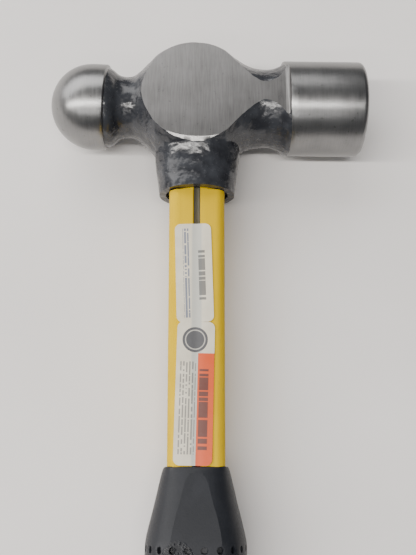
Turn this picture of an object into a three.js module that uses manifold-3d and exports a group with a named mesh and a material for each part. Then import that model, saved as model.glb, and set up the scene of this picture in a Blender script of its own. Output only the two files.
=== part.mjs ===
// Ball peen hammer, 24 oz class, with a glass-fibre handle, a two-colour shaft and a rubber grip.
// Millimetres. The hammer lies on its side: head along X with the striking face towards +X,
// handle along -Y, one ground cheek facing up. Every piece is built around the point where the
// head's axis crosses the handle's axis, and the whole group is then moved so that the origin
// is under the middle of the hammer, on the surface it lies on.

import * as THREE from "three";
import { mergeVertices } from "three/addons/utils/BufferGeometryUtils.js";
import Module from "manifold-3d";

const wasm = await Module();
wasm.setup();

// ---- driving dimensions -------------------------------------------------------------------

const GAP = 0.3; // clearance left between pieces that touch on the real hammer
const OVERCUT = 1.0; // how far a cutting body runs past what it cuts

// head, along X
const BALL_RADIUS = 15.0;
const BALL_END_X = -51.9;
const BALL_CENTRE_X = BALL_END_X + BALL_RADIUS;
const BALL_SHOULDER_X = -31.6;
const FACE_X = 58.6;
const FACE_EDGE_RADIUS = 1.8;
const POLL_RADIUS = 16.65;
const POLL_SHOULDER_X = 31.4;
const BOSS_RADIUS = 22.7; // the round swelling that holds the eye
const BOSS_CENTRE_X = -0.7;
const PEEN_NECK_RADIUS = 10.7;
const POLL_NECK_RADIUS = 13.75;
const CHEEK_HALF_THICKNESS = 13.3; // the two ground flats
const CHEEK_END_X = 29.2; // the flats stop short of the poll
const CROWN_Y = 20.8; // the top of the eye, ground level
const HEAD_SEGMENTS = 48;

// skirt of the eye, along -Y
const SKIRT_END_Y = -33.7;
const SKIRT_END_HALF_WIDTH = 13.0;
const SKIRT_MIDDLE_Y = -26.85;
const SKIRT_MIDDLE_HALF_WIDTH = 14.0;
const SKIRT_SHOULDER_Y = -20.0;
const SKIRT_SHOULDER_HALF_WIDTH = 14.7;
const SKIRT_ROOT_Y = -14.0; // inside the boss
const SKIRT_ROOT_HALF_WIDTH = 15.2;
const SKIRT_ROOT_CONE = 4.0;
const SKIRT_FLATTENING = 0.85; // thickness over width
const SKIRT_EDGE = 0.9;

// eye: an oval hole, wider at the crown so that the bond cannot pull through
const EYE_MOUTH_HALF_WIDTH = 10.4;
const EYE_CROWN_HALF_WIDTH = 11.4;
const EYE_FLATTENING = 0.78;

// shaft
const SHAFT_WIDTH_AT_HEAD = 18.85;
const SHAFT_WIDTH_AT_GRIP = 18.1;
const SHAFT_THICKNESS = 14.0;
const SHAFT_EDGE_RADIUS = 3.3;
const SHAFT_TOP_Y = 17.2; // top of the shaft inside the eye
const TENON_INSET = 1.3; // the shaft is turned down to this much less than the eye, all round
const SHAFT_TAPER_END_Y = -125.0;
const SHAFT_END_Y = -322.0;
const SLOT_WIDTH = 2.2; // shows the dark core, front and back
const SLOT_END_Y = -150.0; // hidden in the grip

// core
const CORE_WIDTH = 12.0;
const CORE_THICKNESS = 10.8;
const CORE_EDGE_RADIUS = 3.0;

// bond and seal in the eye
const BOND_TOP_Y = 19.2;
const SEAL_HEIGHT = 2.6;
const SEAL_TOP_Y = -30.6; // the seal sits just inside the mouth of the skirt

// grip
const GRIP_TOP_Y = -124.5;
const BUTT_Y = -335.2;
const GRIP_CORNER_POINTS = 6;
const GRIP_STEPS = 42;
// distance along the handle, half width, half thickness, corner radius
const GRIP_STATIONS = [
  [GRIP_TOP_Y, 9.9, 7.7, 3.8],
  [-126.4, 10.75, 8.6, 4.6],
  [-136.0, 12.95, 10.4, 5.9],
  [-146.2, 15.4, 12.3, 7.2],
  [-152.0, 15.4, 12.4, 7.6],
  [-165.0, 14.9, 12.2, 7.8],
  [-205.0, 13.7, 11.5, 7.8],
  [-262.0, 15.8, 13.2, 8.6],
  [-300.0, 14.6, 12.4, 8.6],
  [-318.0, 16.6, 14.9, 10.5],
  [-327.0, 18.0, 16.6, 12.5],
  [-332.0, 17.2, 16.0, 12.5],
  [BUTT_Y, 14.6, 13.2, 10.5],
];
const GRIP_FLOOR_Y = -324.0; // bottom of the grip's bore

// labels on the front of the shaft
const LABEL_WIDTH = 12.0;
const LABEL_THICKNESS = 0.3;
const LABEL_CORNER = 2.0;
const LABEL_LIFT = 0.1; // adhesive under the label
// each label: bottom, top, centre to one side of the shaft's middle, and how far it is askew
const UPPER_LABEL = { low: -79.6, high: -46.7, side: -0.9, askew: 1.7 };
const LOWER_LABEL = { low: -124.0, high: -80.6, side: -0.65, askew: -1.4 };

// ---- finishes -----------------------------------------------------------------------------

const finish = (color, roughness, metalness) =>
  new THREE.MeshStandardMaterial({ color, roughness, metalness });
const FORGED_STEEL = finish(0x5a5c5f, 0.4, 0.8);
const CORE_COMPOSITE = finish(0x4a493e, 0.6, 0);
const YELLOW_COMPOSITE = finish(0xd9b12c, 0.4, 0);
const EPOXY = finish(0x8a7b52, 0.3, 0);
const SEAL_RUBBER = finish(0x1d1e20, 0.8, 0);
const GRIP_RUBBER = finish(0x2c2d30, 0.85, 0);
const LABEL_STOCK = finish(0xd8d0bd, 0.6, 0);

// ---- joining and cutting ------------------------------------------------------------------

function solid(geometry) {
  const bare = geometry.clone();
  bare.deleteAttribute("normal");
  bare.deleteAttribute("uv");
  const merged = mergeVertices(bare, 1e-4);
  return new wasm.Manifold(
    new wasm.Mesh({
      numProp: 3,
      vertProperties: merged.attributes.position.array,
      triVerts: new Uint32Array(merged.index.array),
    }),
  );
}

function geometryOf(body) {
  const mesh = body.getMesh();
  const geometry = new THREE.BufferGeometry();
  geometry.setAttribute("position", new THREE.BufferAttribute(mesh.vertProperties, 3));
  geometry.setIndex(new THREE.BufferAttribute(mesh.triVerts, 1));
  const flat = geometry.toNonIndexed();
  flat.computeVertexNormals();
  return flat;
}

function piece(name, body, material) {
  const mesh = new THREE.Mesh(geometryOf(body), material);
  mesh.name = name;
  return mesh;
}

// ---- shapes -------------------------------------------------------------------------------

// A block given by two opposite corners.
function block(low, high) {
  const size = high.map((value, i) => value - low[i]);
  const box = new THREE.BoxGeometry(...size);
  return solid(box.translate(...low.map((value, i) => value + size[i] / 2)));
}

// Points of an arc of a profile, from one angle to another, in degrees.
function arc(centreAlong, centreOut, radius, from, to, count) {
  return Array.from({ length: count + 1 }, (_, i) => {
    const angle = THREE.MathUtils.degToRad(from + ((to - from) * i) / count);
    return [centreAlong + radius * Math.cos(angle), centreOut + radius * Math.sin(angle)];
  });
}

// A smooth run of [along, out] points through the ones given.
function smooth(points, count) {
  const curve = new THREE.SplineCurve(points.map(([along, out]) => new THREE.Vector2(along, out)));
  return curve.getPoints(count).map((p) => [p.x, p.y]);
}

// A turned body: [along, out] pairs spun round the Y axis.
function turned(profile, segments) {
  return new THREE.LatheGeometry(
    profile.map(([along, out]) => new THREE.Vector2(Math.max(out, 0), along)),
    segments,
  );
}

// A rectangle with rounded corners, centred, as an extrusion outline.
function roundedOutline(width, height, radius, curveSegments) {
  const x = width / 2 - radius;
  const y = height / 2 - radius;
  const shape = new THREE.Shape();
  shape.absarc(x, y, radius, 0, Math.PI / 2);
  shape.absarc(-x, y, radius, Math.PI / 2, Math.PI);
  shape.absarc(-x, -y, radius, Math.PI, 1.5 * Math.PI);
  shape.absarc(x, -y, radius, 1.5 * Math.PI, 2 * Math.PI);
  return new THREE.Shape(shape.getPoints(curveSegments));
}

// A bar along Y between two heights, its outline in the X-Z plane.
function bar(outline, lowY, highY, steps = 1) {
  const geometry = new THREE.ExtrudeGeometry(outline, {
    depth: highY - lowY,
    steps,
    bevelEnabled: false,
    curveSegments: 5,
  });
  return geometry.rotateX(-Math.PI / 2).translate(0, lowY, 0);
}

// Moves every vertex by a rule that takes and returns a Vector3.
function reshape(geometry, rule) {
  const position = geometry.attributes.position;
  const point = new THREE.Vector3();
  for (let i = 0; i < position.count; i += 1) {
    rule(point.fromBufferAttribute(position, i));
    position.setXYZ(i, point.x, point.y, point.z);
  }
  return geometry;
}

// ---- head ---------------------------------------------------------------------------------

function headProfile() {
  const ball = arc(BALL_CENTRE_X, 0, BALL_RADIUS, 180, 90, 12);
  const peenNeck = smooth(
    [
      [-29.7, 13.2],
      [-27.7, 11.1],
      [-24.9, PEEN_NECK_RADIUS],
      [-22.5, 11.0],
      [-19.5, 13.1],
      [-16.1, 16.3],
    ],
    12,
  );
  const boss = arc(BOSS_CENTRE_X, 0, BOSS_RADIUS, 123, 62, 10);
  const pollNeck = smooth(
    [
      [12.9, 17.7],
      [16.3, 15.6],
      [19.9, 14.2],
      [23.9, POLL_NECK_RADIUS],
      [27.2, 14.1],
      [CHEEK_END_X, 14.9],
      [POLL_SHOULDER_X, POLL_RADIUS],
    ],
    12,
  );
  const faceEdge = arc(
    FACE_X - FACE_EDGE_RADIUS,
    POLL_RADIUS - FACE_EDGE_RADIUS,
    FACE_EDGE_RADIUS,
    90,
    0,
    3,
  );
  return [
    ...ball,
    [BALL_SHOULDER_X, BALL_RADIUS],
    ...peenNeck,
    ...boss,
    ...pollNeck,
    ...faceEdge,
    [FACE_X, 0],
  ];
}

// The eye's hole, drawn in by an inset all round, from one height to another.
function eyeHole(inset, lowY, highY) {
  const halfWidthAt = (y) =>
    THREE.MathUtils.mapLinear(y, SKIRT_END_Y, CROWN_Y, EYE_MOUTH_HALF_WIDTH, EYE_CROWN_HALF_WIDTH);
  const profile = [
    [lowY, 0],
    [lowY, halfWidthAt(lowY) - inset],
    [highY, halfWidthAt(highY) - inset],
    [highY, 0],
  ];
  const depth = halfWidthAt(0) * EYE_FLATTENING - inset;
  return turned(profile, 40).scale(1, 1, depth / (halfWidthAt(0) - inset));
}

function headForging() {
  const body = solid(turned(headProfile(), HEAD_SEGMENTS).rotateZ(-Math.PI / 2));
  const skirtProfile = [
    [SKIRT_END_Y, 0],
    [SKIRT_END_Y, SKIRT_END_HALF_WIDTH - SKIRT_EDGE],
    [SKIRT_END_Y + SKIRT_EDGE, SKIRT_END_HALF_WIDTH],
    [SKIRT_MIDDLE_Y, SKIRT_MIDDLE_HALF_WIDTH],
    [SKIRT_SHOULDER_Y, SKIRT_SHOULDER_HALF_WIDTH],
    [SKIRT_ROOT_Y, SKIRT_ROOT_HALF_WIDTH],
    [SKIRT_ROOT_Y + SKIRT_ROOT_CONE, 0],
  ];
  const skirt = solid(turned(skirtProfile, 44).scale(1, 1, SKIRT_FLATTENING));
  const reach = BOSS_RADIUS + OVERCUT;
  const upperCheekCut = block([-reach, -reach, CHEEK_HALF_THICKNESS], [CHEEK_END_X, reach, reach]);
  const lowerCheekCut = block([-reach, -reach, -reach], [CHEEK_END_X, reach, -CHEEK_HALF_THICKNESS]);
  const crownCut = block([-reach, CROWN_Y, -reach], [reach, reach, reach]);
  return body
    .add(skirt)
    .subtract(upperCheekCut)
    .subtract(lowerCheekCut)
    .subtract(crownCut)
    .subtract(solid(eyeHole(0, SKIRT_END_Y - OVERCUT, CROWN_Y + OVERCUT)));
}

// ---- shaft --------------------------------------------------------------------------------

// The shaft's outside, grown by a clearance, between two heights.
function shaftEnvelope(clearance, lowY, highY) {
  const outline = roundedOutline(
    SHAFT_WIDTH_AT_HEAD + 2 * clearance,
    SHAFT_THICKNESS + 2 * clearance,
    SHAFT_EDGE_RADIUS + clearance,
    5,
  );
  const narrowing = (SHAFT_WIDTH_AT_HEAD - SHAFT_WIDTH_AT_GRIP) / 2;
  return reshape(bar(outline, lowY, highY, 6), (point) => {
    const share = THREE.MathUtils.clamp(point.y / SHAFT_TAPER_END_Y, 0, 1);
    point.x -= Math.sign(point.x) * share * narrowing;
  });
}

function coreBar(clearance, lowY, highY) {
  const outline = roundedOutline(
    CORE_WIDTH + 2 * clearance,
    CORE_THICKNESS + 2 * clearance,
    CORE_EDGE_RADIUS + clearance,
    5,
  );
  return bar(outline, lowY, highY);
}

// The end of the shaft that goes into the eye, grown by a clearance.
function tenon(clearance, lowY, highY) {
  const oval = solid(eyeHole(TENON_INSET - clearance, lowY, highY));
  const envelope = solid(shaftEnvelope(clearance, lowY - OVERCUT, highY + OVERCUT));
  return oval.intersect(envelope);
}

function shaftJacket() {
  const slot = block(
    [-SLOT_WIDTH / 2, SLOT_END_Y, -SHAFT_THICKNESS],
    [SLOT_WIDTH / 2, SHAFT_TOP_Y + OVERCUT, SHAFT_THICKNESS],
  );
  return solid(shaftEnvelope(0, SHAFT_END_Y, SKIRT_END_Y - GAP))
    .add(tenon(0, SKIRT_END_Y - OVERCUT, SHAFT_TOP_Y))
    .subtract(solid(coreBar(GAP, SHAFT_END_Y - OVERCUT, SHAFT_TOP_Y + OVERCUT)))
    .subtract(slot);
}

// ---- eye bond and seal --------------------------------------------------------------------

function eyeRing(lowY, highY) {
  const pocket = tenon(GAP, SKIRT_END_Y - OVERCUT, SHAFT_TOP_Y + GAP);
  return solid(eyeHole(GAP, lowY, highY)).subtract(pocket);
}

// ---- grip ---------------------------------------------------------------------------------

// The grip's stations, read off a smooth curve at even steps.
function gripStations() {
  const heightAndSize = GRIP_STATIONS.map(([y, halfWidth, halfThickness]) => {
    return new THREE.Vector3(halfWidth, y, halfThickness);
  });
  const heightAndCorner = GRIP_STATIONS.map(([y, , , radius]) => new THREE.Vector2(y, radius));
  const sizes = new THREE.CatmullRomCurve3(heightAndSize, false, "centripetal").getPoints(GRIP_STEPS);
  const corners = new THREE.SplineCurve(heightAndCorner).getPoints(GRIP_STEPS);
  return sizes.map((size, i) => ({ size, radius: corners[i].y }));
}

// A rounded rectangle's point in the direction of a unit circle's point.
function onSection({ size, radius }, x, z) {
  const cornerX = Math.sign(x) * (size.x - radius);
  const cornerZ = Math.sign(z) * (size.z - radius);
  return new THREE.Vector3(cornerX + radius * x, size.y, cornerZ + radius * z);
}

function rubberGrip() {
  const count = 4 * GRIP_CORNER_POINTS;
  const circle = Array.from({ length: count }, (_, i) => {
    const angle = (2 * Math.PI * (i + 0.5)) / count;
    return new THREE.Vector2(Math.cos(angle), Math.sin(angle));
  });
  const stations = gripStations();
  const sleeve = reshape(bar(new THREE.Shape(circle), 0, 1, GRIP_STEPS), (point) => {
    const station = stations[Math.round((1 - point.y) * GRIP_STEPS)];
    point.copy(onSection(station, point.x, point.z));
  });
  const bore = solid(shaftEnvelope(GAP, GRIP_FLOOR_Y, GRIP_TOP_Y + OVERCUT));
  return solid(sleeve).subtract(bore);
}

// ---- labels -------------------------------------------------------------------------------

function label({ low, high, side, askew }) {
  const outline = roundedOutline(LABEL_WIDTH, high - low, LABEL_CORNER, 4);
  const plate = new THREE.ExtrudeGeometry(outline, { depth: LABEL_THICKNESS, bevelEnabled: false });
  plate.rotateZ(THREE.MathUtils.degToRad(askew));
  return solid(plate.translate(side, (low + high) / 2, SHAFT_THICKNESS / 2 + LABEL_LIFT));
}

// ---- assembly -----------------------------------------------------------------------------

const hammer = new THREE.Group();
hammer.position.set(-(BALL_END_X + FACE_X) / 2, -(CROWN_Y + BUTT_Y) / 2, POLL_RADIUS);
hammer.add(
  piece("head_forging", headForging(), FORGED_STEEL),
  piece("eye_bond", eyeRing(SEAL_TOP_Y + GAP, BOND_TOP_Y), EPOXY),
  piece("eye_seal_ring", eyeRing(SEAL_TOP_Y - SEAL_HEIGHT, SEAL_TOP_Y), SEAL_RUBBER),
  piece("shaft_core", solid(coreBar(0, SHAFT_END_Y, SHAFT_TOP_Y)), CORE_COMPOSITE),
  piece("shaft_jacket", shaftJacket(), YELLOW_COMPOSITE),
  piece("grip_sleeve", rubberGrip(), GRIP_RUBBER),
  piece("upper_label", label(UPPER_LABEL), LABEL_STOCK),
  piece("lower_label", label(LOWER_LABEL), LABEL_STOCK),
);

const part = new THREE.Group();
part.add(hammer);
export default part;
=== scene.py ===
import math

import bmesh
import bpy
import numpy as np
from mathutils import Matrix, Vector


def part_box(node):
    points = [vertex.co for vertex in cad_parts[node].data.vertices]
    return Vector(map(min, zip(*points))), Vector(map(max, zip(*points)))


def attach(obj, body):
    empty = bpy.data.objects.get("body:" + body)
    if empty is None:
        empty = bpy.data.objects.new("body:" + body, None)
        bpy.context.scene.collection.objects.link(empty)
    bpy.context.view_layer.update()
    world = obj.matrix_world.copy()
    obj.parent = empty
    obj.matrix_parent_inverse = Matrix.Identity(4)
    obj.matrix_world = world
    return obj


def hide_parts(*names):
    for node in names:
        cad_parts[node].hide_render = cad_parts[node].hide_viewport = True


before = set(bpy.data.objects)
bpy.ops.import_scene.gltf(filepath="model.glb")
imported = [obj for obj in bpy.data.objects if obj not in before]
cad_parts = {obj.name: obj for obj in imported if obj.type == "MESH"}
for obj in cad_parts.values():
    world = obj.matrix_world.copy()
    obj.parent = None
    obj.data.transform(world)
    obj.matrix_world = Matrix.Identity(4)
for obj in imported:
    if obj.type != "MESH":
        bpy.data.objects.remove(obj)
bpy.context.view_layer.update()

# Sizes are in millimetres, measured from the point where the head's axis crosses the handle's:
# X along the head with the striking face at +X, Y up the handle, Z out of the upper cheek.
MM = 0.001
CROWN_Y = 20.8
CORE_LOW, CORE_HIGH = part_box("shaft_core")
CROSSING = Vector((
    (CORE_LOW.x + CORE_HIGH.x) / 2,
    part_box("head_forging")[1].y - CROWN_Y * MM,
    (CORE_LOW.z + CORE_HIGH.z) / 2,
))

# head
BALL_RADIUS = 15.0
BALL_CENTRE_X = -36.9
BALL_RIM_X = -31.9
FACE_X = 58.6
FACE_EDGE = 1.8
POLL_RADIUS = 16.65
POLL_START_X = 31.3
BOSS_RADIUS = 22.7
BOSS_X = -0.7
CHEEK_Z = 13.3
CHEEK_END_X = 31.6
SKIRT_END_Y = -33.7
EYE_MOUTH, EYE_CROWN = 10.4, 11.4
EYE_FLATTENING = 0.78
TENON_INSET = 1.3
BALL_RIM_LEAN = math.radians(3.6)
POLL_START_LEAN = math.radians(-4.2)
RIM_TILT = math.radians(21.5)
RIM_RADIUS = 29.1
RIM_LOWEST_Y = -17.45
HEAD_SEGMENTS = 128
OVAL_SEGMENTS = 96
VOXEL = 0.45
SCALE_SIZE, SCALE_HEIGHT = 4.5, 0.28
TURNED, PAINTED, CHEEK = 0, 1, 2
FLAT_ENOUGH = 0.9995

# handle
SHAFT_THICKNESS = 14.0
SHAFT_WIDE, SHAFT_NARROW = 18.85, 18.1
SHAFT_EDGE = 3.3
SHAFT_TOP_Y, SHAFT_END_Y = 17.2, -322.0
TAPER_END_Y = -125.0
SLOT_HALF = 1.1
CORE_WIDTH, CORE_THICKNESS, CORE_EDGE = 12.0, 10.8, 3.0
CLEARANCE = 0.3
JACKET_SHOULDER_Y = -34.0
CORE_RIBS = (-0.9, -0.55, -0.2, 0.15, 0.5, 0.85)
CORE_RIB_VALLEYS = (-0.55, 0.15, 0.85)
CORE_RIB_DEPTH = 0.14
GROOVE_LIPS = ((6.8, 1.16), (7.2, 1.62 / 1.16))

# grip: height, half width and half thickness of each section
GRIP_SECTIONS = [
    (-124.5, 9.9, 7.7), (-126.4, 10.75, 8.6), (-136.0, 12.95, 10.4), (-146.2, 15.4, 12.3),
    (-152.0, 15.4, 12.4), (-165.0, 14.9, 12.2), (-205.0, 13.7, 11.5), (-262.0, 15.8, 13.2),
    (-300.0, 14.6, 12.4), (-318.0, 16.6, 14.9), (-327.0, 18.0, 16.6), (-332.0, 17.2, 16.0),
    (-335.2, 14.6, 13.2),
]
GRIP_TOP_Y = -124.5
GRIP_ALLOWANCE = 1.006
DIMPLE_PITCH = 4.55
DIMPLE_ROWS = 39
FIRST_ROW_Y = -145.9
DIMPLE_RIM, DIMPLE_WALL, DIMPLE_DEPTH = 1.1, 0.15, 1.45
DIMPLE_CREASE = 0.75
FACET_SLOPE, FACET_HEIGHT = 0.143, 8.24
FACET_ENOUGH = 0.99995

# labels
LABEL_HALF_WIDTH, LABEL_CORNER = 6.0, 2.0
LABEL_UNDER_Z, LABEL_OVER_Z = 7.1, 7.4
LABEL_FOLDS = (-1.9, -1.25, -0.6, 0, 0.6, 1.25, 1.9)
LABEL_DIPS = ((1.4, 0.09), (0.8, 0.07), (0.3, 0.04))
LAP_Y, LAP_LIFT = -81.5, 0.12
UPPER_MIDDLE, UPPER_LENGTH, UPPER_ASKEW = (-0.9, -63.15), 33.3, 1.7
LOWER_MIDDLE, LOWER_LENGTH, LOWER_ASKEW = (-0.65, -102.05), 44.6, -1.4
DASH_JUMP = 7.3
RING_MIDDLE = (-0.2, 16.5)


def at(x, y, z=0.0):
    """A place on the hammer, in millimetres from the crossing, as a place in the scene."""
    return CROSSING + Vector((x, y, z)) * MM


# ---- selecting, cutting and joining --------------------------------------------------------

def put_down():
    if bpy.context.mode != "OBJECT":
        bpy.ops.object.mode_set(mode="OBJECT")
    bpy.ops.object.select_all(action="DESELECT")


def pick_up(piece):
    put_down()
    piece.select_set(True)
    bpy.context.view_layer.objects.active = piece


def start_editing(piece, kind="FACE"):
    pick_up(piece)
    bpy.ops.object.mode_set(mode="EDIT")
    bpy.ops.mesh.select_mode(type=kind)
    bpy.ops.mesh.select_all(action="DESELECT")


def select_where(piece, rule, kind="FACE"):
    """Selects the vertices, edges or faces whose middle, in millimetres from the crossing, fits."""
    bm = bmesh.from_edit_mesh(piece.data)
    bpy.ops.mesh.select_all(action="DESELECT")
    if kind == "VERT":
        for vert in bm.verts:
            if rule((vert.co - CROSSING) / MM):
                vert.select = True
    elif kind == "EDGE":
        for edge in bm.edges:
            ends = [(vert.co - CROSSING) / MM for vert in edge.verts]
            if rule((ends[0] + ends[1]) / 2, ends[1] - ends[0]):
                edge.select = True
    else:
        for face in bm.faces:
            if rule((face.calc_center_median() - CROSSING) / MM, face.normal):
                face.select = True
    bm.select_flush_mode()
    bmesh.update_edit_mesh(piece.data)


def finish_editing(piece):
    bpy.ops.mesh.select_all(action="SELECT")
    bpy.ops.mesh.normals_make_consistent(inside=False)
    bpy.ops.object.mode_set(mode="OBJECT")


def apply_place(piece):
    pick_up(piece)
    bpy.ops.object.transform_apply(location=True, rotation=True, scale=True)


def add_modifier(piece, kind, **settings):
    """Adds a modifier, sets it and applies it."""
    modifier = piece.modifiers.new(kind.lower(), kind)
    for name, value in settings.items():
        setattr(modifier, name, value)
    pick_up(piece)
    bpy.ops.object.modifier_apply(modifier=modifier.name)


def combine(piece, other, how):
    add_modifier(piece, "BOOLEAN", operation=how, solver="MANIFOLD", object=other)
    mesh = other.data
    bpy.data.objects.remove(other)
    bpy.data.meshes.remove(mesh)


def cut_plane(piece, place, normal):
    """Cuts away what lies on the normal's side of a plane, and closes the cut."""
    normal = Vector(normal).normalized()
    reach = 0.2
    put_down()
    bpy.ops.mesh.primitive_cube_add(size=2 * reach, location=place + normal * reach,
                                    rotation=normal.to_track_quat("Z", "Y").to_euler())
    cutter = bpy.context.object
    apply_place(cutter)
    combine(piece, cutter, "DIFFERENCE")


def smooth_run(points, per_gap):
    """Places along a smooth curve through the given ones."""
    points = np.array(points, float)
    padded = np.vstack([2 * points[0] - points[1], points, 2 * points[-1] - points[-2]])
    run = []
    for i in range(len(points) - 1):
        a, b, c, d = padded[i:i + 4]
        for t in np.arange(per_gap) / per_gap:
            run.append(0.5 * (2 * b + (c - a) * t + (2 * a - 5 * b + 4 * c - d) * t ** 2
                              + (3 * b - a - 3 * c + d) * t ** 3))
    run.append(points[-1])
    return [tuple(point) for point in run]


def turned_along_x(name, stations):
    """A round bar: each station is its place along X and its radius."""
    put_down()
    along, radius = stations[0]
    bpy.ops.mesh.primitive_circle_add(vertices=HEAD_SEGMENTS, radius=radius * MM, fill_type="NGON",
                                      location=at(along, 0), rotation=(0, math.pi / 2, 0))
    piece = bpy.context.object
    piece.name = name
    apply_place(piece)
    start_editing(piece)
    bpy.ops.mesh.select_all(action="SELECT")
    for (x0, r0), (x1, r1) in zip(stations, stations[1:]):
        bpy.ops.mesh.extrude_region_move(TRANSFORM_OT_translate={"value": ((x1 - x0) * MM, 0, 0)})
        bpy.ops.transform.resize(value=(1, r1 / r0, r1 / r0), center_override=at(x1, 0))
    finish_editing(piece)
    return piece


def oval_along_y(name, stations):
    """An oval bar: each station is its height along Y, its half width and its half thickness."""
    put_down()
    height, half_width, half_thick = stations[0]
    bpy.ops.mesh.primitive_circle_add(vertices=OVAL_SEGMENTS, radius=half_width * MM,
                                      fill_type="NGON", location=at(0, height),
                                      rotation=(math.pi / 2, 0, 0))
    piece = bpy.context.object
    piece.name = name
    piece.scale = (1, half_thick / half_width, 1)
    apply_place(piece)
    start_editing(piece)
    bpy.ops.mesh.select_all(action="SELECT")
    for (y0, w0, t0), (y1, w1, t1) in zip(stations, stations[1:]):
        bpy.ops.mesh.extrude_region_move(TRANSFORM_OT_translate={"value": (0, (y1 - y0) * MM, 0)})
        bpy.ops.transform.resize(value=(w1 / w0, 1, t1 / t0), center_override=at(0, y1))
    finish_editing(piece)
    return piece


def eye_section(y, inset=0.0):
    """The eye's oval at a height, drawn in by an inset all round."""
    half = EYE_MOUTH + (y - SKIRT_END_Y) / (CROWN_Y - SKIRT_END_Y) * (EYE_CROWN - EYE_MOUTH)
    return y, half - inset, half * EYE_FLATTENING - inset


def block(name, low, high):
    put_down()
    low, high = at(*low), at(*high)
    bpy.ops.mesh.primitive_cube_add(size=1, location=(low + high) / 2)
    piece = bpy.context.object
    piece.name = name
    piece.scale = high - low
    apply_place(piece)
    return piece


def rounded_bar(name, width, thickness, edge, low_y, high_y, segments=6):
    """A straight bar along Y with its four long edges rounded."""
    bar = block(name, (-width / 2, low_y, -thickness / 2), (width / 2, high_y, thickness / 2))
    start_editing(bar, "EDGE")
    select_where(bar, lambda middle, run: abs(run.y) > 1, "EDGE")
    bpy.ops.mesh.bevel(offset=edge * MM, segments=segments, affect="EDGES")
    finish_editing(bar)
    return bar


def shade(piece, degrees):
    pick_up(piece)
    bpy.ops.object.shade_smooth_by_angle(angle=math.radians(degrees))
    put_down()


def coat(piece, *finishes):
    piece.data.materials.clear()
    for finish in finishes:
        piece.data.materials.append(finish)


def paint_all(piece, index):
    piece.data.polygons.foreach_set("material_index", [index] * len(piece.data.polygons))
    piece.data.update()


def paint_where(piece, index, rule):
    for face in piece.data.polygons:
        if rule((face.center - CROSSING) / MM, face.normal):
            face.material_index = index


def fit_in(piece, node):
    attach(piece, "root")
    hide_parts(node)


# ---- finishes ------------------------------------------------------------------------------

class Finish:
    """A finish under construction: a material with its principled shader."""

    def __init__(self, name, color, roughness, metallic=0.0, **settings):
        self.material = bpy.data.materials.new(name)
        self.material.use_nodes = True
        self.tree = self.material.node_tree
        self.shader = self.tree.nodes["Principled BSDF"]
        self.shader.inputs["Base Color"].default_value = (*color, 1)
        self.shader.inputs["Roughness"].default_value = roughness
        self.shader.inputs["Metallic"].default_value = metallic
        for socket, value in settings.items():
            self.shader.inputs[socket.replace("_", " ")].default_value = value
        self.place = self.node("ShaderNodeTexCoord").outputs["Object"]

    def node(self, kind, inputs=None, **settings):
        made = self.tree.nodes.new(kind)
        for name, value in settings.items():
            setattr(made, name, value)
        for socket, value in (inputs or {}).items():
            if isinstance(value, bpy.types.NodeSocket):
                self.tree.links.new(value, made.inputs[socket])
            else:
                made.inputs[socket].default_value = value
        return made

    def stretched(self, scale):
        return self.node("ShaderNodeMapping", {"Vector": self.place, "Scale": scale}).outputs[0]

    def noise(self, size, detail, vector=None):
        """Cloudy variation from 0 to 1; size is the width of a cloud in millimetres."""
        made = self.node("ShaderNodeTexNoise", {
            "Vector": vector or self.place, "Scale": 1 / (size * MM),
            "Detail": detail})
        return made.outputs["Fac"]

    def spread(self, value, low, high, to_low=0.0, to_high=1.0):
        return self.node("ShaderNodeMapRange", {
            "Value": value, "From Min": low, "From Max": high,
            "To Min": to_low, "To Max": to_high}).outputs["Result"]

    def sum(self, how, first, second=0.0, third=0.0):
        made = self.node("ShaderNodeMath", {0: first, 1: second, 2: third}, operation=how)
        return made.outputs[0]

    def blend(self, share, first, second):
        made = self.node("ShaderNodeMix", {0: share}, data_type="RGBA")
        for index, value in ((6, first), (7, second)):
            if isinstance(value, bpy.types.NodeSocket):
                self.tree.links.new(value, made.inputs[index])
            else:
                made.inputs[index].default_value = (*value, 1)
        return made.outputs[2]

    def set_color(self, value):
        self.tree.links.new(value, self.shader.inputs["Base Color"])

    def set_roughness(self, value):
        self.tree.links.new(value, self.shader.inputs["Roughness"])

    def set_relief(self, height, depth):
        made = self.node("ShaderNodeBump", {"Height": height, "Distance": depth * MM,
                                            "Strength": 1.0})
        self.tree.links.new(made.outputs[0], self.shader.inputs["Normal"])


def ground_steel(name, stretch, dark, light):
    """Bright steel with fine grinding marks that run along the stretched directions."""
    made = Finish(name, (0.5, 0.5, 0.5), 0.3, 1.0)
    marks = made.noise(0.35, 3.0, made.stretched(stretch))
    fine = made.noise(0.35 / 3, 1.0, made.stretched(stretch))
    cloud = made.noise(7.0, 3.0)
    tone = made.blend(made.spread(cloud, 0.3, 0.7), dark, light)
    streak = made.spread(marks, 0.35, 0.65)
    tone = made.blend(made.sum("MULTIPLY", streak, 0.25), tone, (0.34, 0.335, 0.33))
    pits = made.spread(made.noise(1.6, 2.0), 0.68, 0.74)
    tone = made.blend(made.sum("MULTIPLY", pits, 0.5), tone, (0.12, 0.12, 0.12))
    made.set_color(tone)
    made.set_roughness(made.sum("ADD", made.spread(marks, 0.3, 0.7, 0.25, 0.32),
                                made.sum("MULTIPLY", cloud, 0.06)))
    made.set_relief(made.sum("ADD", made.sum("MULTIPLY", marks, 0.7), fine), 0.012)
    return made.material


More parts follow.
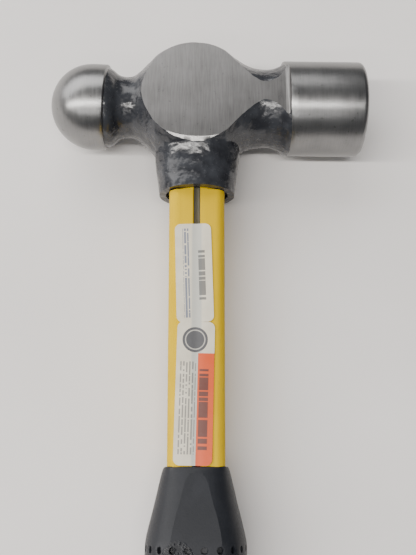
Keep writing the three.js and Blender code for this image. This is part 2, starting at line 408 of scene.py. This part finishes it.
def forge_paint():
    """Black paint over the scaly forged skin, thin on the high spots."""
    made = Finish("forge_paint", (0.035, 0.037, 0.041), 0.3, 0.0, Coat_Weight=0.15,
                  Coat_Roughness=0.12)
    lumps = made.noise(5.5, 2.0)
    scale = made.noise(1.6, 2.0)
    tone = made.blend(made.spread(lumps, 0.35, 0.7), (0.017, 0.018, 0.022), (0.038, 0.041, 0.048))
    worn = made.sum("MULTIPLY", made.spread(made.noise(1.1, 4.0), 0.62, 0.7),
                    made.spread(made.noise(6.0, 2.0), 0.5, 0.6))
    tone = made.blend(made.sum("MULTIPLY", worn, 0.35), tone, (0.18, 0.18, 0.18))
    made.set_color(tone)
    made.set_roughness(made.spread(scale, 0.3, 0.7, 0.17, 0.30))
    made.set_relief(made.sum("ADD", made.sum("MULTIPLY", lumps, 2.2),
                             made.sum("MULTIPLY", scale, 0.35)), 0.32)
    return made.material


def yellow_composite():
    """Yellow pultruded composite: fine fibres lengthwise under a smooth resin skin."""
    made = Finish("yellow_composite", (0.70, 0.46, 0.06), 0.42, 0.0, Specular_IOR_Level=0.08)
    fibres = made.noise(0.35, 2.0, made.stretched((1, 0.03, 1)))
    bundles = made.noise(1.6, 2.0, made.stretched((1, 0.04, 1)))
    cloud = made.noise(14.0, 3.0)
    tone = made.blend(made.spread(cloud, 0.3, 0.7), (0.64, 0.42, 0.002), (0.70, 0.47, 0.006))
    tone = made.blend(made.sum("MULTIPLY", made.spread(bundles, 0.35, 0.7), 0.35), tone,
                      (0.56, 0.35, 0.002))
    nicks = made.spread(made.noise(0.8, 3.0, made.stretched((1, 0.25, 1))), 0.66, 0.72)
    scuffs = made.sum("MULTIPLY", nicks, made.spread(made.noise(9.0, 2.0), 0.5, 0.58))
    tone = made.blend(made.sum("MULTIPLY", scuffs, 0.45), tone, (0.30, 0.22, 0.10))
    made.set_color(tone)
    made.set_roughness(made.spread(bundles, 0.3, 0.7, 0.36, 0.5))
    made.set_relief(made.sum("ADD", fibres, made.sum("MULTIPLY", bundles, 0.6)), 0.02)
    return made.material


def core_composite():
    made = Finish("core_composite", (0.09, 0.088, 0.06), 0.55)
    strings = made.noise(0.5, 3.0, made.stretched((1, 0.02, 1)))
    cloud = made.noise(5.0, 3.0, made.stretched((1, 0.3, 1)))
    tone = made.blend(made.spread(strings, 0.35, 0.65), (0.055, 0.054, 0.038), (0.17, 0.165, 0.12))
    tone = made.blend(made.spread(cloud, 0.45, 0.75), tone, (0.10, 0.085, 0.05))
    made.set_color(tone)
    made.set_roughness(made.spread(cloud, 0.3, 0.7, 0.45, 0.65))
    made.set_relief(strings, 0.08)
    return made.material


def cured_epoxy():
    made = Finish("cured_epoxy", (0.22, 0.15, 0.06), 0.22, 0.0, Coat_Weight=0.5,
                  Coat_Roughness=0.08)
    cloud = made.noise(4.0, 3.0)
    bubbles = made.node("ShaderNodeTexVoronoi", {"Vector": made.place, "Scale": 1 / (1.4 * MM)})
    ring = made.spread(bubbles.outputs["Distance"], 0.12, 0.2)
    tone = made.blend(made.spread(cloud, 0.3, 0.7), (0.16, 0.10, 0.04), (0.30, 0.21, 0.09))
    made.set_color(made.blend(ring, (0.40, 0.32, 0.18), tone))
    made.set_roughness(made.spread(cloud, 0.3, 0.7, 0.16, 0.32))
    made.set_relief(made.sum("ADD", ring, cloud), 0.08)
    return made.material


def seal_rubber():
    made = Finish("seal_rubber", (0.016, 0.016, 0.018), 0.6)
    grain = made.noise(0.4, 3.0)
    made.set_color(made.blend(made.spread(grain, 0.4, 0.7), (0.012, 0.012, 0.014),
                              (0.035, 0.035, 0.038)))
    made.set_roughness(made.spread(grain, 0.3, 0.7, 0.5, 0.75))
    made.set_relief(grain, 0.06)
    return made.material


def grip_rubber():
    """Dark grey rubber: smooth satin on the cone, finely pebbled below it with painted shade in the
    crevices between the pebbles, dusty here and there.
    """
    made = Finish("grip_rubber", (0.045, 0.047, 0.053), 0.5)
    apart = made.node("ShaderNodeSeparateXYZ", {"Vector": made.place})
    across = made.sum("DIVIDE", made.sum("SUBTRACT", apart.outputs["X"], CROSSING.x), MM)
    up = made.sum("DIVIDE", made.sum("SUBTRACT", apart.outputs["Y"], CROSSING.y), MM)
    off_middle = made.sum("ADD", across, 5.5)
    arch = made.sum("MULTIPLY_ADD", made.sum("MULTIPLY", off_middle, off_middle), 0.14, up)
    pebbled = made.sum("MAXIMUM", made.spread(arch, -145.2, -146.0),
                       made.spread(up, -149.4, -150.4))
    pebbles = made.node("ShaderNodeTexVoronoi", {"Vector": made.place, "Scale": 1 / (0.8 * MM)})
    beads = made.spread(pebbles.outputs["Distance"], 0.0, 0.6, 1.0, 0.0)
    skin = made.noise(0.5, 3.0)
    dust = made.spread(made.noise(6.0, 4.0), 0.45, 0.75)
    tone = made.blend(made.sum("MULTIPLY", dust, 0.5), (0.0060, 0.0075, 0.0115),
                      (0.0155, 0.0175, 0.0240))
    # Painted shade: the low crevices between the pebbles are darkened towards near-black.
    painted_shade_between_beads = made.sum("MULTIPLY", made.sum("SUBTRACT", 1.0, beads),
                       made.sum("MULTIPLY", pebbled, 0.5))
    tone = made.blend(painted_shade_between_beads, tone, (0.010, 0.010, 0.012))
    made.set_color(tone)
    made.set_roughness(made.spread(skin, 0.3, 0.7, 0.42, 0.58))
    relief = made.sum("MULTIPLY_ADD", made.sum("MULTIPLY", beads, pebbled), 3.0,
                      made.sum("MULTIPLY", skin, 0.3))
    made.set_relief(relief, 0.07)
    return made.material


def label_film(name, middle, askew, draw):
    """Printed film: draw(finish, across, up, tone) adds the print to the pale ground colour.
    Across and up are in millimetres from the label's middle."""
    made = Finish(name, (0.7, 0.65, 0.55), 0.4, 0.0, Coat_Weight=0.2, Coat_Roughness=0.2)
    own = made.node("ShaderNodeMapping", {
        "Vector": made.place, "Location": tuple(middle), "Rotation": (0, 0, math.radians(askew)),
        "Scale": (MM, MM, MM)}, vector_type="TEXTURE")
    apart = made.node("ShaderNodeSeparateXYZ", {"Vector": own.outputs[0]})
    whole = made.node("ShaderNodeSeparateXYZ", {"Vector": made.place})
    across, up = apart.outputs["X"], apart.outputs["Y"]
    from_slot = made.sum("DIVIDE", made.sum("SUBTRACT", whole.outputs["X"], CROSSING.x), MM)
    cloud = made.noise(5.0, 4.0)
    tone = made.blend(made.spread(cloud, 0.3, 0.7), (0.67, 0.62, 0.50), (0.78, 0.72, 0.585))
    over_slot = made.spread(made.sum("ABSOLUTE", from_slot, 0.0), 1.9, 1.3)
    tone = made.blend(made.sum("MULTIPLY", over_slot, 0.8), tone, (0.50, 0.51, 0.47))
    tone = draw(made, across, up, tone)
    made.set_color(tone)
    made.set_roughness(made.spread(cloud, 0.3, 0.7, 0.34, 0.5))
    made.set_relief(made.noise(1.2, 3.0), 0.03)
    return made.material


# ---- print on the labels -------------------------------------------------------------------

def inside(made, value, low, high):
    return made.sum("COMPARE", value, (low + high) / 2, (high - low) / 2)


def patch(made, across, up, low, high):
    """1 inside an upright rectangle given by two opposite corners."""
    return made.sum("MULTIPLY", inside(made, across, low[0], high[0]),
                    inside(made, up, low[1], high[1]))


def plain_rows(made, across, up, low, high, pitch, share, gaps):
    """Rows of plain dashes that run along the label, in place of small print."""
    row = made.sum("FLOOR", made.sum("DIVIDE", across, pitch))
    within = made.sum("LESS_THAN", made.sum("FRACT", made.sum("DIVIDE", across, pitch)), share)
    seat = made.node("ShaderNodeCombineXYZ", {"X": made.sum("MULTIPLY", row, DASH_JUMP), "Y": up})
    breaks = made.node("ShaderNodeTexNoise", {"Vector": seat.outputs[0], "Scale": 0.9,
                                              "Detail": 1.0})
    dash = made.sum("GREATER_THAN", breaks.outputs["Fac"], gaps)
    return made.sum("MULTIPLY", made.sum("MULTIPLY", within, dash),
                    patch(made, across, up, low, high))


def draw_upper(made, across, up, tone):
    first = plain_rows(made, across, up, (-3.5, -15.2), (-1.5, 15.0), 1.0, 0.66, 0.40)
    tone = made.blend(made.sum("MULTIPLY", first, 0.85), tone, (0.13, 0.16, 0.24))
    second = plain_rows(made, across, up, (1.5, -9.4), (3.7, 7.4), 5.0, 1.0, 0.42)
    return made.blend(made.sum("MULTIPLY", second, 0.85), tone, (0.12, 0.12, 0.12))


def draw_lower(made, across, up, tone):
    small = plain_rows(made, across, up, (-4.7, -19.0), (0.3, 9.5), 0.95, 0.52, 0.42)
    tone = made.blend(made.sum("MULTIPLY", small, 0.75), tone, (0.14, 0.14, 0.14))
    orange = patch(made, across, up, (0.85, -30.0), (7.0, 12.2))
    tone = made.blend(orange, tone, (0.70, 0.095, 0.02))
    dark = plain_rows(made, across, up, (1.4, -17.6), (4.3, 7.2), 5.0, 1.0, 0.42)
    tone = made.blend(made.sum("MULTIPLY", dark, 0.85), tone, (0.045, 0.04, 0.04))
    off_across = made.sum("SUBTRACT", across, RING_MIDDLE[0])
    off_up = made.sum("SUBTRACT", up, RING_MIDDLE[1])
    radius = made.sum("SQRT", made.sum("ADD", made.sum("MULTIPLY", off_across, off_across),
                                       made.sum("MULTIPLY", off_up, off_up)))
    disc = made.sum("LESS_THAN", radius, 4.05)
    tone = made.blend(disc, tone, (0.10, 0.10, 0.105))
    tone = made.blend(inside(made, radius, 2.9, 3.25), tone, (0.50, 0.48, 0.43))
    return tone


# ---- head ----------------------------------------------------------------------------------

def forged_skin():
    """Necks, boss and skirt, blended into one another as they come out of the die."""
    peen = smooth_run([(-33.4, 13.9), (-31.4, 13.8), (-29.7, 13.0), (-27.7, 11.3), (-24.9, 10.7),
                       (-22.5, 11.0), (-19.5, 13.1), (-16.1, 16.3)], 4)
    boss = [(BOSS_X + BOSS_RADIUS * math.cos(math.radians(angle)),
             BOSS_RADIUS * math.sin(math.radians(angle))) for angle in range(128, 58, -5)]
    poll = smooth_run([(12.9, 17.7), (16.3, 15.6), (19.9, 14.2), (23.9, 13.75), (27.2, 14.1),
                       (29.2, 14.9), (30.4, 15.7), (31.5, 16.3), (33.6, 16.4)], 4)
    body = turned_along_x("hammer_head", peen + boss + poll)
    skirt = oval_along_y("skirt", smooth_run(
        [(4.0, 14.0, 12.5), (-8.0, 15.2, 13.2), (-14.0, 15.2, 13.3), (-17.5, 15.0, 13.15),
         (-19.0, 14.85, 12.75), (-21.0, 14.65, 12.0), (-23.0, 14.45, 11.35), (-25.0, 14.2, 11.15),
         (-33.0, 13.1, 10.95), (-36.0, 12.7, 10.9)], 3))
    combine(body, skirt, "UNION")
    add_modifier(body, "REMESH", mode="VOXEL", voxel_size=VOXEL * MM)
    add_modifier(body, "SMOOTH", factor=0.5, iterations=3)
    scale = bpy.data.textures.new("forge_scale", "CLOUDS")
    scale.noise_scale = SCALE_SIZE * MM
    scale.noise_depth = 2
    add_modifier(body, "DISPLACE", texture=scale, texture_coords="LOCAL",
                 strength=SCALE_HEIGHT * MM, mid_level=0.5)
    cut_plane(body, at(0, SKIRT_END_Y), (0, -1, 0))
    cut_plane(body, at(0, CROWN_Y), (0, 1, 0))
    return body


def ground_ball():
    """The turned ball, with a sharp rim that leans a little across the neck."""
    stations = [(BALL_CENTRE_X - BALL_RADIUS, 0.4)]
    for angle in range(6, 91, 4):
        turn = math.radians(angle)
        stations.append((BALL_CENTRE_X - BALL_RADIUS * math.cos(turn),
                         BALL_RADIUS * math.sin(turn)))
    stations += [(BALL_CENTRE_X + 1.4, BALL_RADIUS), (BALL_CENTRE_X + 3.2, BALL_RADIUS - 0.05),
                 (BALL_RIM_X - 0.35, BALL_RADIUS - 0.2), (BALL_RIM_X, BALL_RADIUS - 0.55),
                 (BALL_RIM_X + 0.3, 13.3)]
    ball = turned_along_x("ball", stations)
    start_editing(ball)
    select_where(ball, lambda place: place.x > BALL_RIM_X - 1, "VERT")
    bpy.ops.transform.rotate(value=BALL_RIM_LEAN, orient_axis="Z",
                             center_override=at(BALL_RIM_X, 0))
    finish_editing(ball)
    paint_all(ball, TURNED)
    paint_where(ball, PAINTED, lambda place, normal: normal.x > 0.75)
    return ball


def ground_poll():
    """The turned poll: a rounded face edge, and a start that leans a little across the flare."""
    face = [(FACE_X - FACE_EDGE + FACE_EDGE * math.sin(math.radians(a)),
             POLL_RADIUS - FACE_EDGE + FACE_EDGE * math.cos(math.radians(a)))
            for a in range(0, 91, 15)]
    start = [(POLL_START_X, 15.4), (POLL_START_X + 0.15, POLL_RADIUS - 0.25),
             (POLL_START_X + 0.6, POLL_RADIUS)]
    poll = turned_along_x("poll", start + [(34.5, POLL_RADIUS), (46.0, POLL_RADIUS)] + face
                          + [(FACE_X, 4.0)])
    start_editing(poll)
    select_where(poll, lambda place: place.x < POLL_START_X + 1, "VERT")
    bpy.ops.transform.rotate(value=POLL_START_LEAN, orient_axis="Z",
                             center_override=at(POLL_START_X, 0))
    finish_editing(poll)
    paint_all(poll, TURNED)
    return poll


def cheek_cutter(side):
    """A grinding block for one cheek, with its far edge rounded off like the wheel's."""
    low, high = sorted((side * CHEEK_Z, side * 30))
    cutter = block("cheek_cutter", (-27, -26, low), (CHEEK_END_X + 0.3, 26, high))
    start_editing(cutter, "EDGE")
    select_where(cutter, lambda middle, run: middle.x > 30 and abs(middle.z) < CHEEK_Z + 1, "EDGE")
    bpy.ops.mesh.bevel(offset=1.5 * MM, segments=4, affect="EDGES")
    finish_editing(cutter)
    return cutter


def rim_cutter(side):
    """The ring-shaped pass that leaves a bright crescent at the skirt's edge of the cheek."""
    below, above = 5.0, 4.0
    slope = math.tan(RIM_TILT)
    wide, narrow = RIM_RADIUS + below / slope, RIM_RADIUS - above / slope
    if side < 0:
        wide, narrow = narrow, wide
    put_down()
    bpy.ops.mesh.primitive_cone_add(
        vertices=240, radius1=wide * MM, radius2=narrow * MM, depth=(below + above) * MM,
        location=at(0, RIM_LOWEST_Y + RIM_RADIUS, side * (CHEEK_Z + (above - below) / 2)))
    kept = bpy.context.object
    low, high = sorted((side * (CHEEK_Z - 3), side * (CHEEK_Z + 3)))
    cutter = block("rim_cutter", (-15, RIM_LOWEST_Y - 1.5, low), (15, RIM_LOWEST_Y + 5, high))
    combine(cutter, kept, "DIFFERENCE")
    return cutter


def hammer_head(steel, paint, cheek_steel):
    head = forged_skin()
    ball, poll = ground_ball(), ground_poll()
    for piece in (head, ball, poll):
        coat(piece, steel, paint, cheek_steel)
    paint_all(head, PAINTED)
    combine(head, ball, "UNION")
    combine(head, poll, "UNION")
    for side in (1, -1):
        for cutter in (cheek_cutter(side), rim_cutter(side)):
            coat(cutter, steel, paint, cheek_steel)
            paint_all(cutter, CHEEK)
            combine(head, cutter, "DIFFERENCE")
    eye = oval_along_y("eye", [
        eye_section(-35.0, -1.2), eye_section(-34.0, -0.5), eye_section(-33.1),
        eye_section(20.0), eye_section(20.8, -0.7), eye_section(22.0, -1.8)])
    coat(eye, steel, paint, cheek_steel)
    paint_all(eye, PAINTED)
    combine(head, eye, "DIFFERENCE")
    shade(head, 30)
    for face in head.data.polygons:
        if face.material_index == CHEEK and abs(face.normal.z) > FLAT_ENOUGH:
            face.use_smooth = False
    fit_in(head, "head_forging")


# ---- eye: bond and seal --------------------------------------------------------------------

def tenon(clearance, low_y, high_y):
    inset = TENON_INSET - clearance
    oval = oval_along_y("tenon", [eye_section(low_y, inset), eye_section(high_y, inset)])
    envelope = rounded_bar("envelope", SHAFT_WIDE + 2 * clearance, SHAFT_THICKNESS + 2 * clearance,
                           SHAFT_EDGE + clearance, low_y - 1, high_y + 1)
    combine(oval, envelope, "INTERSECT")
    return oval


def crown_epoxy(finish):
    """Poured resin: a dished top that climbs the wall of the eye a little."""
    fit = CLEARANCE
    stations = [eye_section(-30.3, fit), eye_section(-10.0, fit), eye_section(10.0, fit),
                eye_section(18.9, fit), eye_section(19.2, fit + 0.25), (18.9, 9.9, 7.3),
                (18.45, 8.6, 6.1), (18.2, 6.0, 4.2), (18.15, 0.5, 0.4)]
    bond = oval_along_y("crown_epoxy", stations)
    combine(bond, tenon(CLEARANCE, -32.0, SHAFT_TOP_Y + CLEARANCE), "DIFFERENCE")
    coat(bond, finish)
    shade(bond, 40)
    fit_in(bond, "eye_bond")


def mouth_seal(finish):
    """A rubber ring pressed into the mouth of the eye, its lip rolled over."""
    fit = CLEARANCE
    stations = [eye_section(-33.2, fit + 0.7), eye_section(-33.1, fit + 0.3),
                eye_section(-32.8, fit + 0.08), eye_section(-32.4, fit), eye_section(-30.9, fit),
                eye_section(-30.6, fit + 0.3)]
    ring = oval_along_y("mouth_seal", stations)
    combine(ring, tenon(CLEARANCE, -34.5, -29.0), "DIFFERENCE")
    coat(ring, finish)
    shade(ring, 40)
    fit_in(ring, "eye_seal_ring")


# ---- handle --------------------------------------------------------------------------------

def dark_core(finish):
    """The inner rod that shows in the groove; the die leaves its broad faces ribbed."""
    core = rounded_bar("dark_core", CORE_WIDTH, CORE_THICKNESS, CORE_EDGE, SHAFT_END_Y, SHAFT_TOP_Y)
    for x in CORE_RIBS:
        start_editing(core)
        bpy.ops.mesh.select_all(action="SELECT")
        bpy.ops.mesh.bisect(plane_co=at(x, 0), plane_no=(1, 0, 0))
        finish_editing(core)
    start_editing(core, "VERT")
    for x in CORE_RIB_VALLEYS:
        select_where(core, lambda place: abs(place.x - x) < 0.05 and place.z > 5, "VERT")
        bpy.ops.transform.translate(value=(0, 0, -CORE_RIB_DEPTH * MM))
        select_where(core, lambda place: abs(place.x - x) < 0.05 and place.z < -5, "VERT")
        bpy.ops.transform.translate(value=(0, 0, CORE_RIB_DEPTH * MM))
    finish_editing(core)
    coat(core, finish)
    shade(core, 25)
    fit_in(core, "shaft_core")


def yellow_jacket(finish):
    """The outer jacket: rounded edges, a light taper, a groove that bares the core."""
    jacket = rounded_bar("yellow_jacket", SHAFT_WIDE, SHAFT_THICKNESS, SHAFT_EDGE, SHAFT_END_Y,
                         JACKET_SHOULDER_Y, 10)
    start_editing(jacket)
    bpy.ops.mesh.select_all(action="SELECT")
    bpy.ops.mesh.bisect(plane_co=at(0, TAPER_END_Y), plane_no=(0, 1, 0))
    select_where(jacket, lambda place: place.y < TAPER_END_Y + 1, "VERT")
    bpy.ops.transform.resize(value=(SHAFT_NARROW / SHAFT_WIDE, 1, 1), center_override=at(0, -200))
    finish_editing(jacket)
    combine(jacket, tenon(0, -34.7, SHAFT_TOP_Y), "UNION")
    bore = rounded_bar("bore", CORE_WIDTH + 2 * CLEARANCE, CORE_THICKNESS + 2 * CLEARANCE,
                       CORE_EDGE + CLEARANCE, SHAFT_END_Y - 2, SHAFT_TOP_Y + 2)
    combine(jacket, bore, "DIFFERENCE")
    for side in (1, -1):
        low, high = sorted((side * 4.0, side * 7.4))
        cutter = block("slot_cutter", (-SLOT_HALF, -150, low), (SLOT_HALF, SHAFT_TOP_Y + 2, high))
        start_editing(cutter)
        bpy.ops.mesh.select_all(action="SELECT")
        for depth in (6.55, 6.85):
            bpy.ops.mesh.bisect(plane_co=at(0, 0, side * depth), plane_no=(0, 0, 1))
            bpy.ops.mesh.select_all(action="SELECT")
        for lowest, wider in GROOVE_LIPS:
            select_where(cutter, lambda place: abs(place.z) > lowest, "VERT")
            bpy.ops.transform.resize(value=(wider, 1, 1), center_override=at(0, 0))
        finish_editing(cutter)
        combine(jacket, cutter, "DIFFERENCE")
    coat(jacket, finish)
    shade(jacket, 25)
    fit_in(jacket, "shaft_jacket")


def grip_rings():
    """The grip's rings from the butt up: height, half width and half thickness."""
    dimpled = [FIRST_ROW_Y - DIMPLE_PITCH * i for i in range(DIMPLE_ROWS + 1)]
    cone = [GRIP_TOP_Y, -125.0, -126.4, -129.5, -133.0, -137.0, -140.8, -143.6]
    butt = [-326.6, -329.6, -332.2, -333.9, -334.8, -335.15]
    heights = sorted(cone + dimpled + butt)
    run = smooth_run(GRIP_SECTIONS, 12)
    run.sort()
    ys, widths, thicks = zip(*run)
    return [(y, float(np.interp(y, ys, widths)), float(np.interp(y, ys, thicks)))
            for y in heights]


def dimpled_grip(finish):
    """A rubber sleeve: a smooth cone, then rows of square dimples down to a swollen butt."""
    rings = grip_rings()
    put_down()
    bpy.ops.mesh.primitive_grid_add(x_subdivisions=6, y_subdivisions=5, size=1,
                                    location=at(0, rings[0][0]), rotation=(math.pi / 2, 0, 0))
    grip = bpy.context.object
    grip.name = "dimpled_grip"
    grip.scale = (6 * DIMPLE_PITCH * MM, 5 * DIMPLE_PITCH * MM, 1)
    apply_place(grip)
    start_editing(grip)
    bpy.ops.mesh.select_all(action="SELECT")
    for (y0, _, _), (y1, _, _) in zip(rings, rings[1:]):
        bpy.ops.mesh.extrude_region_move(TRANSFORM_OT_translate={"value": (0, (y1 - y0) * MM, 0)})
    bpy.ops.mesh.select_all(action="SELECT")
    bpy.ops.mesh.vertices_smooth(factor=0.5, repeat=14, xaxis=True, yaxis=False, zaxis=True)
    bpy.ops.mesh.select_mode(type="VERT")
    for y, half_width, half_thick in rings:
        select_where(grip, lambda place: abs(place.y - y) < 0.1, "VERT")
        bm = bmesh.from_edit_mesh(grip.data)
        chosen = [(vert.co - CROSSING) / MM for vert in bm.verts if vert.select]
        reach_x = max(place.x for place in chosen)
        reach_z = max(place.z for place in chosen)
        bpy.ops.transform.resize(
            value=(half_width * GRIP_ALLOWANCE / reach_x, 1, half_thick * GRIP_ALLOWANCE / reach_z),
            center_override=at(0, y))
    bpy.ops.mesh.select_all(action="SELECT")
    bpy.ops.mesh.normals_make_consistent(inside=False)
    last_y = FIRST_ROW_Y - DIMPLE_PITCH * DIMPLE_ROWS
    bpy.ops.mesh.select_mode(type="FACE")
    select_where(grip, lambda place, normal: last_y < place.y < FIRST_ROW_Y and abs(normal.y) < 0.7)
    bpy.ops.mesh.inset(thickness=DIMPLE_RIM * MM, depth=0, use_individual=True)
    bpy.ops.transform.edge_crease(value=DIMPLE_CREASE)
    bpy.ops.mesh.inset(thickness=DIMPLE_WALL * MM, depth=-DIMPLE_DEPTH * MM,
                       use_individual=True)
    bpy.ops.transform.edge_crease(value=DIMPLE_CREASE)
    finish_editing(grip)
    add_modifier(grip, "SUBSURF", levels=1, render_levels=1)
    facets = [Vector((0, FACET_SLOPE, side)).normalized() for side in (1, -1)]
    for side, facet in zip((1, -1), facets):
        cut_plane(grip, at(0, GRIP_TOP_Y, side * FACET_HEIGHT), facet)
    bore = rounded_bar("bore", SHAFT_NARROW + 2 * CLEARANCE, SHAFT_THICKNESS + 2 * CLEARANCE,
                       SHAFT_EDGE + CLEARANCE, -324, -120, 10)
    combine(grip, bore, "DIFFERENCE")
    coat(grip, finish)
    shade(grip, 28)
    for face in grip.data.polygons:
        if max(face.normal.dot(facet) for facet in facets) > FACET_ENOUGH:
            face.use_smooth = False
    fit_in(grip, "grip_sleeve")


def stuck_label(name, node, middle, length, askew, finish):
    """A rounded strip of film that dips a little where it bridges the groove."""
    x, y = middle
    plate = block(name, (x - LABEL_HALF_WIDTH, y - length / 2, LABEL_UNDER_Z),
                  (x + LABEL_HALF_WIDTH, y + length / 2, LABEL_OVER_Z))
    start_editing(plate, "EDGE")
    select_where(plate, lambda centre, run: abs(run.z) > 0.1, "EDGE")
    bpy.ops.mesh.bevel(offset=LABEL_CORNER * MM, segments=8, affect="EDGES")
    finish_editing(plate)
    start_editing(plate)
    bpy.ops.mesh.select_all(action="SELECT")
    bpy.ops.transform.rotate(value=math.radians(-askew), orient_axis="Z", center_override=at(x, y))
    finish_editing(plate)
    for line in LABEL_FOLDS:
        start_editing(plate)
        bpy.ops.mesh.select_all(action="SELECT")
        bpy.ops.mesh.bisect(plane_co=at(line, 0), plane_no=(1, 0, 0))
        finish_editing(plate)
    start_editing(plate, "VERT")
    for reach, dip in LABEL_DIPS:
        select_where(plate, lambda place: abs(place.x) < reach, "VERT")
        bpy.ops.transform.translate(value=(0, 0, -dip * MM))
    select_where(plate, lambda place: LAP_Y < place.y < y + length / 2 + 1 and y < LAP_Y, "VERT")
    bpy.ops.transform.translate(value=(0, 0, LAP_LIFT * MM))
    finish_editing(plate)
    coat(plate, finish)
    shade(plate, 40)
    fit_in(plate, node)


# ---- room ----------------------------------------------------------------------------------

def set_camera():
    data = bpy.data.cameras.new("viewpoint")
    data.lens = 46.05
    data.sensor_width = 36.0
    data.clip_start = 0.01
    camera = bpy.data.objects.new("viewpoint", data)
    bpy.context.collection.objects.link(camera)
    place = CROSSING + Vector((-1.9, -126.1, 230.5)) * MM
    look = Vector((0.024, 0.264, -0.9646)).normalized()
    right = look.cross(Vector((0, 1, 0))).normalized()
    up = right.cross(look)
    turn = Matrix((right, up, -look)).transposed().to_4x4()
    roll = Matrix.Rotation(math.radians(-0.09), 4, "Z")
    camera.matrix_world = Matrix.Translation(place) @ turn @ roll
    bpy.context.scene.camera = camera


def add_floor():
    made = Finish("pale_paper", (0.74, 0.71, 0.70), 0.7)
    cloud = made.noise(60.0, 3.0)
    made.set_color(made.blend(made.spread(cloud, 0.3, 0.7), (0.79, 0.765, 0.75),
                              (0.83, 0.805, 0.79)))
    put_down()
    bpy.ops.mesh.primitive_plane_add(size=4.0, location=(0, 0, 0))
    floor = bpy.context.object
    floor.name = "floor"
    floor.data.materials.append(made.material)


def add_lamp(name, place, width, height, power, color):
    data = bpy.data.lights.new(name, "AREA")
    data.shape = "RECTANGLE"
    data.size, data.size_y = width, height
    data.energy = power
    data.color = color
    lamp = bpy.data.objects.new(name, data)
    lamp.location = place
    aim = (CROSSING - Vector(place)).normalized()
    side = Vector((1, 0, 0))
    up = (-aim).cross(side).normalized()
    side = up.cross(-aim)
    lamp.rotation_euler = Matrix((side, up, -aim)).transposed().to_euler()
    bpy.context.collection.objects.link(lamp)


def add_light():
    world = bpy.data.worlds.new("room")
    world.use_nodes = True
    world.node_tree.nodes["Background"].inputs[0].default_value = (0.92, 0.95, 1.0, 1)
    world.node_tree.nodes["Background"].inputs[1].default_value = 0.135
    bpy.context.scene.world = world
    add_lamp("window", (-0.75, 1.06, 0.9), 2.4, 0.9, 24, (1.0, 0.985, 0.97))
    add_lamp("strip", (-0.75, -0.28, 1.5), 3.1, 0.10, 47, (1.0, 0.97, 0.93))
    add_lamp("second_strip", (-0.45, -0.95, 1.35), 1.8, 0.07, 5, (1.0, 0.98, 0.96))


set_camera()
turned_marks = ground_steel("turned_steel", (1, 0.06, 0.06),
                            (0.21, 0.21, 0.212), (0.27, 0.27, 0.268))
cheek_marks = ground_steel("cheek_steel", (1, 0.05, 1),
                           (0.15, 0.147, 0.145), (0.195, 0.192, 0.19))
hammer_head(turned_marks, forge_paint(), cheek_marks)
crown_epoxy(cured_epoxy())
mouth_seal(seal_rubber())
dark_core(core_composite())
yellow_jacket(yellow_composite())
dimpled_grip(grip_rubber())
stuck_label("upper_label_film", "upper_label", UPPER_MIDDLE, UPPER_LENGTH, UPPER_ASKEW,
            label_film("upper_print", at(*UPPER_MIDDLE), UPPER_ASKEW, draw_upper))
stuck_label("lower_label_film", "lower_label", LOWER_MIDDLE, LOWER_LENGTH, LOWER_ASKEW,
            label_film("lower_print", at(*LOWER_MIDDLE), LOWER_ASKEW, draw_lower))
add_floor()
add_light()
